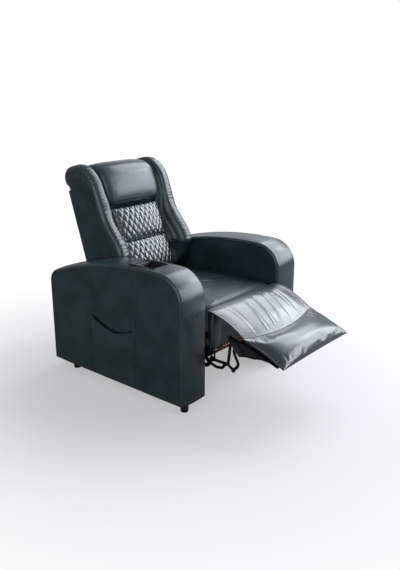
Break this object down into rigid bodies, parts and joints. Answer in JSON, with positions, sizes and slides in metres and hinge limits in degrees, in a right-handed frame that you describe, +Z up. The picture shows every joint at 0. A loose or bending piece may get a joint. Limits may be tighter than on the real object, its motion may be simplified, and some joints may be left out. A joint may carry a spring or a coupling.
{
  "type": "power recliner chair",
  "caption": "Padded leather power recliner with raised footrest, quilted reclining back, side pocket and a tray in one arm.",
  "frame": {"origin": "on the floor below the middle of the bounding box with the footrest raised", "axes": "+X to the sitter's left, +Y to the rear of the chair, +Z up"},
  "size_m": [0.8774, 1.3225, 1.001],
  "materials": {
    "leather": "satin",
    "quilted_leather": "satin",
    "frame_wood": "raw",
    "black_steel": "satin",
    "copper_strip": "satin",
    "spring_wire": "satin",
    "black_plastic": "matte",
    "motor_housing": "matte"
  },
  "bodies": {
    "base": {"arm_frame_right": "frame_wood", "arm_frame_left": "frame_wood", "outer_panel_right": "leather", "outer_panel_left": "leather", "inner_panel_right": "leather", "inner_panel_left": "leather", "arm_band_right": "leather", "arm_band_left": "leather", "arm_pocket": "leather", "console_tray": "black_plastic", "foot_front_right": "black_plastic", "foot_front_left": "black_plastic", "foot_rear_right": "black_plastic", "foot_rear_left": "black_plastic", "side_rail_right": "frame_wood", "side_rail_left": "frame_wood", "front_rail": "frame_wood", "cross_beams": "frame_wood", "rear_panel": "leather", "front_strip": "copper_strip", "mechanism_plate_right": "black_steel", "mechanism_plate_left": "black_steel", "seat_springs": "spring_wire", "seat_cushion": "leather", "front_panel": "leather", "front_roll_right": "leather", "front_roll_left": "leather", "seat_flap": "leather", "control_panel": "black_plastic", "power_box": "black_plastic", "inlet_socket": "black_plastic", "footrest_motor": "motor_housing", "back_motor": "motor_housing"},
    "footrest": {"footrest_board": "frame_wood", "footrest_pad": "leather", "footrest_bracket_right": "black_steel", "footrest_bracket_left": "black_steel"},
    "long_bars": {"long_bar_right": "black_steel", "long_bar_left": "black_steel"},
    "upper_links": {"upper_link_right": "black_steel", "upper_link_left": "black_steel"},
    "dogleg_links": {"dogleg_link_right": "black_steel", "dogleg_link_left": "black_steel"},
    "curved_links": {"curved_link_right": "black_steel", "curved_link_left": "black_steel"},
    "footrest_drive": {"footrest_slider": "black_steel", "drive_yoke_right": "black_steel", "drive_yoke_left": "black_steel"},
    "back": {"back_brackets": "black_steel", "back_frame": "frame_wood", "back_shell": "leather", "wing_right": "leather", "wing_left": "leather", "top_roll": "leather", "head_cushion": "leather", "lumbar_upper": "quilted_leather", "lumbar_lower": "quilted_leather"},
    "back_drive": {"back_slider": "black_steel"},
    "footrest_button": {"footrest_rocker": "black_plastic"},
    "back_button": {"back_rocker": "black_plastic"}
  },
  "joints": [
    {"name": "footrest_fold", "type": "hinge", "parent": "base", "child": "footrest", "pos_m": [0, -0.34952, 0.402], "axis": [1, 0, 0], "range_deg": [0, 70.5], "deforming": ["seat_flap"]},
    {"name": "long_bar_pivot", "type": "hinge", "parent": "base", "child": "long_bars", "pos_m": [0, -0.23352, 0.306], "axis": [1, 0, 0], "range_deg": [0, 70.5]},
    {"name": "upper_link_pivot", "type": "hinge", "parent": "long_bars", "child": "upper_links", "pos_m": [0, -0.36452, 0.222], "axis": [1, 0, 0], "range_deg": [-70.5, 0]},
    {"name": "dogleg_link_pivot", "type": "hinge", "parent": "long_bars", "child": "dogleg_links", "pos_m": [0, -0.39752, 0.202], "axis": [1, 0, 0], "range_deg": [-70.5, 0]},
    {"name": "curved_link_pivot", "type": "hinge", "parent": "base", "child": "curved_links", "pos_m": [0, -0.21452, 0.296], "axis": [1, 0, 0], "range_deg": [0, 70.5]},
    {"name": "footrest_drive_slide", "type": "slide", "parent": "base", "child": "footrest_drive", "axis": [0, 1, 0], "range_m": [0, 0.0812]},
    {"name": "back_recline", "type": "hinge", "parent": "base", "child": "back", "pos_m": [0, 0.39648, 0.35], "axis": [-1, 0, 0], "range_deg": [0, 38]},
    {"name": "back_drive_slide", "type": "slide", "parent": "base", "child": "back_drive", "axis": [0, -1, 0], "range_m": [0, 0.072]},
    {"name": "footrest_rocker_tilt", "type": "hinge", "parent": "base", "child": "footrest_button", "pos_m": [-0.272, -0.04776, 0.526], "axis": [0, 1, 0], "range_deg": [-7, 7], "stiffness_Nm_per_rad": 0.4},
    {"name": "back_rocker_tilt", "type": "hinge", "parent": "base", "child": "back_button", "pos_m": [-0.272, -0.00728, 0.526], "axis": [0, 1, 0], "range_deg": [-7, 7], "stiffness_Nm_per_rad": 0.4}
  ],
  "couplings": [
    {"joint": "long_bar_pivot", "follows": "footrest_fold", "ratio": 1},
    {"joint": "upper_link_pivot", "follows": "footrest_fold", "ratio": -1},
    {"joint": "dogleg_link_pivot", "follows": "footrest_fold", "ratio": -1},
    {"joint": "curved_link_pivot", "follows": "footrest_fold", "ratio": 1},
    {"joint": "footrest_drive_slide", "follows": "footrest_fold", "m_per_rad": 0.065668},
    {"joint": "back_drive_slide", "follows": "back_recline", "m_per_rad": 0.108}
  ]
}
